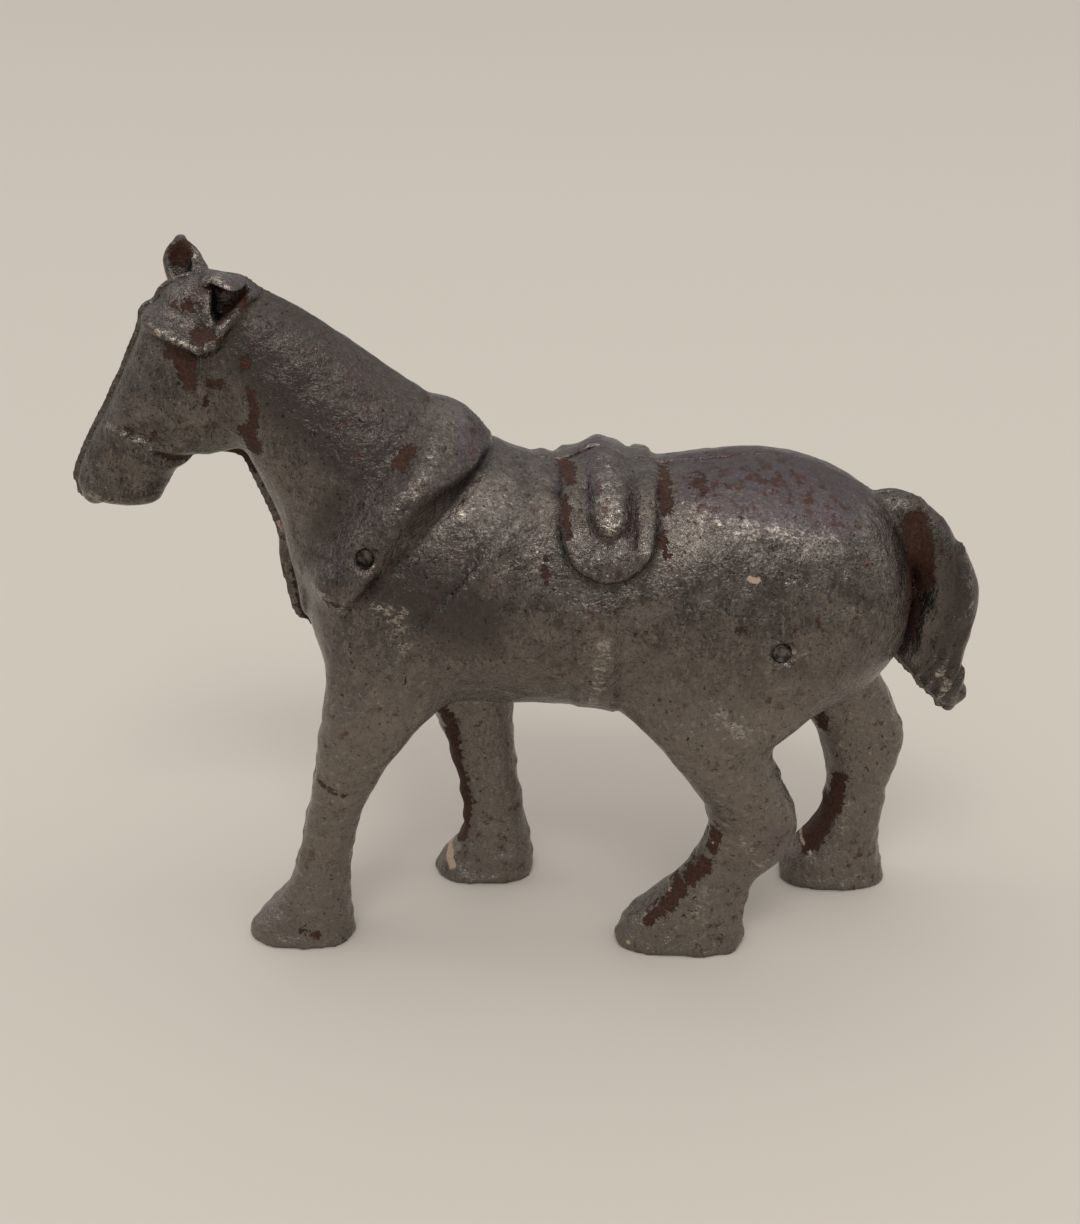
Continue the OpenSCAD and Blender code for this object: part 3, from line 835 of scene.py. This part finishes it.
def curvature(verts, faces):
    """How far each vertex lies below its surroundings, in steps: above 0 in a hollow."""
    edges = np.concatenate([faces[:, [i, (i + 1) % 4]] for i in range(4)])
    edges = np.concatenate([edges, edges[:, ::-1]])
    degree = np.bincount(edges[:, 0], minlength=len(verts))
    corner = verts[faces]
    across = np.cross(corner[:, 2] - corner[:, 0], corner[:, 3] - corner[:, 1])
    normal = np.zeros_like(verts)
    for i in range(4):
        for axis in range(3):
            normal[:, axis] += np.bincount(faces[:, i], across[:, axis], len(verts))
    normal /= np.maximum(np.linalg.norm(normal, axis=1), 1e-9)[:, None]

    def spread(values):
        return np.bincount(edges[:, 0], values[edges[:, 1]], len(verts)) / degree

    wide = verts
    for _ in range(3):
        wide = np.stack([spread(wide[:, axis]) for axis in range(3)], 1)
    bend = ((wide - verts) * normal).sum(1) / STEP
    return spread(spread(bend))


def paint(obj, marks, shift):
    """Stores each kind of mark on the mesh: millimetres inside its edge, negative outside."""
    far_outside = -6.0
    co = np.zeros(len(obj.data.vertices) * 3, np.float32)
    obj.data.vertices.foreach_get("co", co)
    x, _, z = ((co.reshape(-1, 3) - ORIGIN) / MM).T
    for kind, for_both in BOTH_MARKS.items():
        value = np.full(len(x), far_outside, np.float32)
        for points, half in for_both + marks[kind]:
            if len(points) == 1:
                points = [points[0], (points[0][0] + 0.01, points[0][1])]
            d, _ = to_line(x - shift, z, points)
            value = np.maximum(value, half - d)
        store(obj, kind, value)


# --- Screws ---

def screw_field(seat, tip):
    """A slotted cheese-head machine screw along Y, in a frame centred on its axis. Its thread
    runs out 8 to 10 mm below the head."""
    top = seat + HEAD_HEIGHT
    xs = np.arange(-4.0, 4.0, SCREW_STEP)
    ys = np.arange(tip - 1.0, top + 1.0, SCREW_STEP)
    gx, gy, gz = np.meshgrid(xs, ys, xs, indexing="ij")
    r = np.hypot(gx, gz)
    turn = gy / THREAD_PITCH - np.arctan2(gz, gx) / (2 * math.pi)
    thread = THREAD_DEPTH * (1 - np.abs(2 * (turn - np.floor(turn)) - 1) * 2)
    thread = np.clip(thread, -THREAD_DEPTH, THREAD_DEPTH)
    threaded = fade(gy, seat - 10, seat - 8)
    point = np.maximum(tip + 0.3 - gy, 0) * 0.5
    shank = r - (SHANK_RADIUS - THREAD_DEPTH * threaded + thread * threaded - point)
    shank = np.maximum(shank * 0.8, np.maximum(tip - gy, gy - seat - 0.5))
    dome = 0.25 * (r / HEAD_RADIUS) ** 2
    edge = 0.15 * fade(gy, top, top - 0.5)
    head = np.maximum(seat - gy, gy - seat - HEAD_HEIGHT + dome)
    head = np.maximum(r - HEAD_RADIUS + edge, head)
    slot = np.abs(gz + 0.12 * gx) - DRIVE_SLOT_HALF
    slot = np.maximum(slot, top - DRIVE_SLOT_DEPTH - gy)
    f = np.maximum(np.minimum(shank, head), -slot)
    return (xs, ys, xs), f.astype(np.float32)


# --- Materials ---

class Nodes:
    """Short helpers for building one material's node tree."""

    def __init__(self, name):
        self.material = bpy.data.materials.new(name)
        self.material.use_nodes = True
        self.tree = self.material.node_tree
        self.shader = self.tree.nodes["Principled BSDF"]
        self.place = self.add("ShaderNodeTexCoord").outputs["Object"]

    def add(self, kind, **settings):
        node = self.tree.nodes.new(kind)
        for key, value in settings.items():
            setattr(node, key, value)
        return node

    def put(self, socket, value):
        if isinstance(value, bpy.types.NodeSocket):
            self.tree.links.new(value, socket)
        else:
            socket.default_value = value

    def noise(self, scale, detail, rough, stretch=None, distortion=0.0):
        place = self.place
        if stretch:
            mapping = self.add("ShaderNodeMapping")
            self.put(mapping.inputs["Vector"], place)
            mapping.inputs["Scale"].default_value = stretch
            place = mapping.outputs["Vector"]
        node = self.add("ShaderNodeTexNoise")
        self.put(node.inputs["Vector"], place)
        node.inputs["Scale"].default_value = scale
        node.inputs["Detail"].default_value = detail
        node.inputs["Roughness"].default_value = rough
        node.inputs["Distortion"].default_value = distortion
        return node.outputs["Fac"]

    def math(self, operation, a, b):
        node = self.add("ShaderNodeMath", operation=operation)
        self.put(node.inputs[0], a)
        self.put(node.inputs[1], b)
        return node.outputs[0]

    def ramp(self, value, low, high):
        """0 below low, 1 above high, smooth between; the other way round when low is above high."""
        node = self.add("ShaderNodeMapRange", interpolation_type="SMOOTHSTEP")
        self.put(node.inputs["Value"], value)
        flip = low > high
        node.inputs["From Min"].default_value = high if flip else low
        node.inputs["From Max"].default_value = low if flip else high
        node.inputs["To Min"].default_value = 1.0 if flip else 0.0
        node.inputs["To Max"].default_value = 0.0 if flip else 1.0
        return node.outputs["Result"]

    def mix(self, amount, a, b):
        node = self.add("ShaderNodeMix", data_type="RGBA")
        self.put(node.inputs["Factor"], amount)
        for socket, value in ((node.inputs["A"], a), (node.inputs["B"], b)):
            self.put(socket, value if isinstance(value, bpy.types.NodeSocket) else (*value, 1.0))
        return node.outputs["Result"]

    def attribute(self, name):
        return self.add("ShaderNodeAttribute", attribute_name=name).outputs["Fac"]

    def bump(self, height, distance, normal=None):
        node = self.add("ShaderNodeBump")
        self.put(node.inputs["Height"], height)
        node.inputs["Distance"].default_value = distance
        node.inputs["Strength"].default_value = 1.0
        if normal is not None:
            self.put(node.inputs["Normal"], normal)
        return node.outputs["Normal"]


IRON = {
    "base": (0.140, 0.120, 0.106),
    "dark": (0.080, 0.069, 0.062),
    "light": (0.215, 0.187, 0.162),
    # Pale bare paint, and the colour of the painted highlights
    "worn_and_highlight": (0.400, 0.355, 0.305),
    # Purple: tinted paint, and a painted reflection of the ceiling on the tops
    "tint_and_reflection": (0.122, 0.096, 0.112),
    "rust": (0.029, 0.011, 0.006),
    "rust_light": (0.064, 0.023, 0.011),
    "chip": (0.43, 0.315, 0.235),
    # Colour of the painted shade
    "painted_shade": (0.048, 0.041, 0.035),
    "crevice": (0.026, 0.022, 0.019),
}


class IronNodes(Nodes):
    """The noises and the stored mark that the layers of the iron share."""

    def __init__(self, name, seed):
        super().__init__(name)
        offset = self.add("ShaderNodeMapping")
        self.put(offset.inputs["Vector"], self.place)
        offset.inputs["Location"].default_value = (seed, 0, 0)
        self.place = offset.outputs["Vector"]
        self.bend = self.attribute("bend")
        self.cloud = self.noise(80, 3, 0.6)
        self.patches = self.noise(290, 4, 0.7)
        self.grain = self.noise(2100, 3, 0.7)
        self.strokes = self.noise(1500, 3, 0.7, stretch=(1.0, 1.0, 0.42), distortion=0.8)
        self.brushed = self.noise(1400, 3, 0.7, stretch=(0.5, 1.0, 1.0), distortion=0.9)
        self.edge = self.noise(900, 4, 0.7)

    def share(self, amount, mask):
        return self.math("MULTIPLY", mask, amount)

    def blotched(self, mark, reach):
        """A stored mark with a ragged edge, reach mm wide."""
        value = self.math("ADD", self.attribute(mark), self.share(reach, self.patches))
        return self.ramp(value, 0.0, reach)


def mottled(n):
    """The paint: dark and pale blotches, pale strokes and dark specks."""
    colour = n.mix(n.ramp(n.patches, 0.38, 0.62), IRON["dark"], IRON["base"])
    colour = n.mix(n.share(0.75, n.ramp(n.strokes, 0.50, 0.68)), colour, IRON["light"])
    colour = n.mix(n.share(0.45, n.ramp(n.cloud, 0.50, 0.66)), colour, IRON["light"])
    return n.mix(n.share(0.80, n.ramp(n.grain, 0.47, 0.34)), colour, IRON["crevice"])


def dust_and_floor_light(n, colour):
    """Paler from the belly down, scuffed and streaked there. The paleness is dust and also painted
    light, standing in for light bounced up from the floor.
    """
    axes = n.add("ShaderNodeSeparateXYZ")
    n.put(axes.inputs["Vector"], n.place)
    # Paler towards the bottom: dust and painted floor light
    low = n.ramp(axes.outputs["Z"], 0.068, 0.040)
    colour = n.mix(n.share(0.7, low), colour, IRON["light"])
    scuffs = n.math("MULTIPLY", low, n.ramp(n.edge, 0.56, 0.68))
    colour = n.mix(n.share(0.4, scuffs), colour, IRON["worn_and_highlight"])
    stains = n.math("MULTIPLY", low, n.ramp(n.strokes, 0.44, 0.32))
    return n.mix(n.share(0.55, stains), colour, IRON["dark"])


def shade_reflection_and_specks(n, colour):
    """Painted shade, the purple tinge that is also a painted reflection on the tops, and brown
    specks, which are more common where it is tinted.
    """
    # Painted shade, in a dark streaky colour
    painted_shade = n.mix(n.strokes, IRON["painted_shade"], IRON["dark"])
    colour = n.mix(n.share(0.85, n.blotched("painted_shade", 6.0)), colour, painted_shade)
    # Purple: tinted paint, and a painted reflection of the ceiling on the tops
    tint_and_reflection = n.blotched("tint_and_reflection", 5.0)
    colour = n.mix(n.share(0.5, tint_and_reflection), colour, IRON["tint_and_reflection"])
    brown = n.math("ADD", n.noise(520, 4, 0.7), n.share(0.07, tint_and_reflection))
    brown = n.math("MULTIPLY", n.ramp(brown, 0.56, 0.66), n.ramp(n.cloud, 0.40, 0.58))
    return n.mix(n.share(0.7, brown), colour, IRON["rust_light"])


def rubbed_and_highlight_mask(n):
    """Where the paint is rubbed bright, at the marks and on ridges near them. At the browband, the
    saddle roll, the collar ridge, the patch behind the collar, the band along the back and the
    tail's rim, the marks are painted highlights.
    """
    rubbed = n.math("ADD", n.attribute("wear_and_highlight"), n.share(9.0, n.math("SUBTRACT", n.edge, 0.60)))
    rubbed = n.math("ADD", rubbed, n.share(-9.0, n.bend))
    return n.math("MULTIPLY", n.ramp(rubbed, -0.6, 2.4), n.ramp(n.brushed, 0.46, 0.58))


def bare_masks(n):
    """The ragged patches of rust, and the chips of bare metal."""
    ragged = n.share(4.4, n.math("SUBTRACT", n.edge, 0.5))
    rust = n.ramp(n.math("ADD", n.attribute("rust"), ragged), -0.10, 0.10)
    chip = n.ramp(n.math("ADD", n.attribute("chip"), n.share(0.35, ragged)), -0.1, 0.1)
    return rust, chip


def iron_normal(n, pit, rust):
    """Swells, brush strokes and grain, with sunken pits and patches of rust."""
    normal = n.bump(n.noise(330, 4, 0.6), 0.0007)
    normal = n.bump(n.strokes, 0.00020, normal)
    normal = n.bump(n.brushed, 0.00012, normal)
    normal = n.bump(n.math("SUBTRACT", 1.0, pit), 0.00022, normal)
    return n.bump(n.math("SUBTRACT", 1.0, rust), 0.00025, normal)


def worn_iron(name, seed):
    """Old gunmetal paint on sand-cast iron: mottled and pitted, rubbed bright on the ridges, darker
    in the hollows, and rusty where it has flaked off. Painted highlights, painted shade, a painted
    reflection and painted floor light are laid into its colour too."""
    n = IronNodes(name, seed)
    colour = shade_reflection_and_specks(n, dust_and_floor_light(n, mottled(n)))
    # Rubbed paint and painted highlights
    wear_and_highlight = rubbed_and_highlight_mask(n)
    colour = n.mix(wear_and_highlight, colour, IRON["worn_and_highlight"])
    # Darker in the hollows
    darker_in_hollows = n.math("ADD", n.bend, n.share(0.35, n.math("SUBTRACT", n.grain, 0.5)))
    colour = n.mix(n.share(0.85, n.ramp(darker_in_hollows, 0.05, 0.26)), colour, IRON["crevice"])
    rust, chip = bare_masks(n)
    rusty = n.mix(n.ramp(n.grain, 0.42, 0.60), IRON["rust"], IRON["rust_light"])
    colour = n.mix(rust, colour, rusty)
    colour = n.mix(chip, colour, IRON["chip"])
    pit = n.math("ADD", n.noise(1250, 1.5, 0.5, distortion=0.8), n.share(0.22, n.cloud))
    pit = n.ramp(pit, 0.42, 0.35)
    colour = n.mix(n.share(0.9, pit), colour, IRON["crevice"])
    n.put(n.shader.inputs["Base Color"], colour)

    bare = n.math("MAXIMUM", rust, chip)
    n.put(n.shader.inputs["Metallic"], n.share(0.92, n.math("SUBTRACT", 1.0, bare)))
    n.shader.inputs["Specular IOR Level"].default_value = 0.3
    rough = n.math("ADD", 0.09, n.share(0.34, n.brushed))
    rough = n.math("ADD", rough, n.share(0.45, bare))
    rough = n.math("SUBTRACT", rough, n.share(0.05, wear_and_highlight))
    n.put(n.shader.inputs["Roughness"], rough)
    n.put(n.shader.inputs["Normal"], iron_normal(n, pit, rust))
    return n.material


def screw_steel(name):
    """Old steel with a few brown spots. The tips were painted over with the bank."""
    n = Nodes(name)
    grain = n.noise(700, 4, 0.65)
    spot = n.ramp(n.noise(260, 4, 0.7), 0.54, 0.64)
    colour = n.mix(n.ramp(grain, 0.35, 0.65), (0.07, 0.06, 0.055), (0.17, 0.15, 0.13))
    colour = n.mix(spot, colour, IRON["rust_light"])
    along = n.add("ShaderNodeSeparateXYZ")
    n.put(along.inputs["Vector"], n.place)
    painted = n.ramp(along.outputs["Y"], -0.0165, -0.0172)
    blotch = n.ramp(n.noise(900, 4, 0.7), 0.40, 0.62)
    colour = n.mix(painted, colour, n.mix(blotch, IRON["crevice"], IRON["base"]))
    n.put(n.shader.inputs["Base Color"], colour)
    n.put(n.shader.inputs["Metallic"], n.math("SUBTRACT", 0.85, n.math("MULTIPLY", spot, 0.7)))
    n.put(n.shader.inputs["Roughness"], n.math("ADD", 0.38, n.math("MULTIPLY", spot, 0.4)))
    n.put(n.shader.inputs["Normal"], n.bump(n.noise(900, 5, 0.7), 0.00012))
    return n.material


def pale_floor(name):
    n = Nodes(name)
    colour = n.mix(n.noise(3.0, 2, 0.5), (0.60, 0.553, 0.495), (0.61, 0.563, 0.506))
    n.put(n.shader.inputs["Base Color"], colour)
    n.shader.inputs["Roughness"].default_value = 0.85
    n.shader.inputs["Specular IOR Level"].default_value = 0.15
    return n.material


# --- Build the pieces ---

def build_half(side, body, material):
    """Around the screws' ends the left half's bend is faded, so the darkening in hollows doesn't
    ring them.
    """
    axes, f = half_field(side)
    verts, faces = surface(axes, f)
    obj = mesh_object(body + "_cast", verts, faces)
    obj.data.materials.append(material)
    paint(obj, LEFT_MARKS if side == LEFT else RIGHT_MARKS, shift_of(side))
    bend = curvature(verts, faces)
    if side == LEFT:
        for screw in SCREWS:
            bend *= fade(bar_along_y(verts[:, 0], verts[:, 2], screw["at"], 0), 4.5, 3.0)
    store(obj, "bend", bend)
    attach(obj, body)
    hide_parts(body)


def build_screw(screw, body, material):
    axes, f = screw_field(screw["seat"], screw["tip"])
    verts, faces = surface(axes, f)
    verts = verts + np.array([screw["at"][0], 0, screw["at"][1]])
    obj = mesh_object(body + "_steel", verts, faces)
    obj.data.materials.append(material)
    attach(obj, body)
    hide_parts(body)


def build_floor():
    mesh = bpy.data.meshes.new("floor")
    half, low = 3.0, -0.0002
    corners = [(-half, -half, low), (half, -half, low), (half, half, low), (-half, half, low)]
    mesh.from_pydata(corners, [], [(0, 1, 2, 3)])
    obj = bpy.data.objects.new("floor", mesh)
    bpy.context.scene.collection.objects.link(obj)
    mesh.materials.append(pale_floor("pale_floor"))


def area_light(name, place, aim, size, power, colour):
    data = bpy.data.lights.new(name, "AREA")
    data.shape = "RECTANGLE"
    data.size, data.size_y = size
    data.energy = power
    data.color = colour
    obj = bpy.data.objects.new(name, data)
    obj.location = place
    obj.rotation_euler = (Vector(aim) - Vector(place)).to_track_quat("-Z", "Y").to_euler()
    bpy.context.scene.collection.objects.link(obj)


def build_lights():
    """One soft key light high on the camera's side, in a pale room that is darker low down."""
    world = bpy.data.worlds.new("studio")
    bpy.context.scene.world = world
    world.use_nodes = True
    tree = world.node_tree
    place = tree.nodes.new("ShaderNodeTexCoord")
    axes = tree.nodes.new("ShaderNodeSeparateXYZ")
    room = tree.nodes.new("ShaderNodeMapRange")
    tree.links.new(place.outputs["Generated"], axes.inputs["Vector"])
    tree.links.new(axes.outputs["Z"], room.inputs["Value"])
    for name, value in (("From Min", 0.0), ("From Max", 0.8), ("To Min", 0.26), ("To Max", 0.91)):
        room.inputs[name].default_value = value
    back = tree.nodes["Background"]
    back.inputs["Color"].default_value = (1.0, 0.975, 0.95, 1.0)
    tree.links.new(room.outputs["Result"], back.inputs["Strength"])
    area_light("key", (-0.05, -1.35, 1.98), (0, 0, 0.07), (0.95, 0.55), 14.5, (1.0, 0.98, 0.95))
    area_light("left", (-2.1, 0.3, 1.5), (0, 0, 0.06), (1.0, 1.0), 5.0, (1.0, 0.98, 0.95))
    area_light("right", (2.1, 0.3, 1.5), (0, 0, 0.06), (1.0, 1.0), 5.0, (1.0, 0.98, 0.96))


def build_camera():
    """At the photo's angle: 25 degrees above the horizon and 2 degrees towards the tail."""
    target = Vector((0.002, -0.004, 0.060)) + Vector(ORIGIN)
    up, turn, far = math.radians(25), math.radians(2), 0.33
    back = Vector((math.sin(turn) * math.cos(up), -math.cos(turn) * math.cos(up), math.sin(up)))
    data = bpy.data.cameras.new("camera")
    data.sensor_fit = "HORIZONTAL"
    data.sensor_width = 36.0
    data.lens = 65.45
    data.clip_start = 0.01
    obj = bpy.data.objects.new("camera", data)
    obj.location = target + back * far
    obj.rotation_euler = (-back).to_track_quat("-Z", "Y").to_euler()
    bpy.context.scene.collection.objects.link(obj)
    bpy.context.scene.camera = obj
    bpy.context.scene.view_settings.view_transform = "Standard"


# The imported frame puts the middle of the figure's box at x = y = 0, and the left half begins
# this far ahead of the figure's own origin, in metres.
LEFT_HALF_REACH = 0.0751
low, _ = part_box("left_half")
ORIGIN = np.array([low.x + LEFT_HALF_REACH, 0.0, 0.0])

left_iron = worn_iron("worn_iron_left", 0.0)
right_iron = worn_iron("worn_iron_right", 0.7)
steel = screw_steel("screw_steel")
for node, material in (("left_half", left_iron), ("right_half", right_iron),
                       ("front_screw", steel), ("rear_screw", steel)):
    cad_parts[node].data.materials.clear()
    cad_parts[node].data.materials.append(material)

build_half(LEFT, "left_half", left_iron)
build_half(RIGHT, "right_half", right_iron)
build_screw(FRONT_SCREW, "front_screw", steel)
build_screw(REAR_SCREW, "rear_screw", steel)
build_floor()
build_lights()
build_camera()
